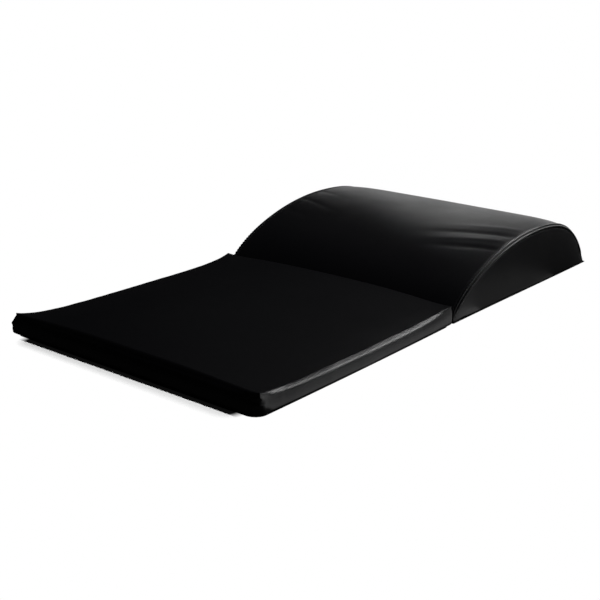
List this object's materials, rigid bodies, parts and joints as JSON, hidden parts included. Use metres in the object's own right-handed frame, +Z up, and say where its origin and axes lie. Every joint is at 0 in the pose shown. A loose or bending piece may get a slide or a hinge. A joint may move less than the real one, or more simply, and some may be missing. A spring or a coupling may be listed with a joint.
{
  "type": "ab mat",
  "caption": "Folding ab mat: a flat cushioned pad joined by a cloth hinge to an arched foam bolster that supports the lower back during sit-ups.",
  "frame": {"origin": "on the floor, under the middle of the mat's box", "axes": "+X to the right across the width, +Y from the pad towards the bolster, +Z up"},
  "size_m": [0.37, 0.79, 0.088],
  "materials": {
    "cover": "black coated fabric with a fine grain and a satin sheen",
    "base": "black coated fabric with a coarser, duller grain",
    "strip": "black coated cloth, matt",
    "foam": "dark grey closed-cell foam, open only inside the covers"
  },
  "bodies": {
    "bolster": {"bolster_foam": "foam", "bolster_top_panel": "cover", "bolster_side_panel_left": "cover", "bolster_side_panel_right": "cover", "bolster_base_panel": "base", "hinge_strip": "strip"},
    "pad": {"pad_foam": "foam", "pad_cover": "cover", "pad_base_panel": "base"}
  },
  "joints": [
    {"name": "pad_fold", "type": "hinge", "parent": "bolster", "child": "pad", "pos_m": [0, -0.011, -0.0005], "axis": [1, 0, 0], "range_deg": [-36, 180], "deforming": ["hinge_strip"]}
  ]
}
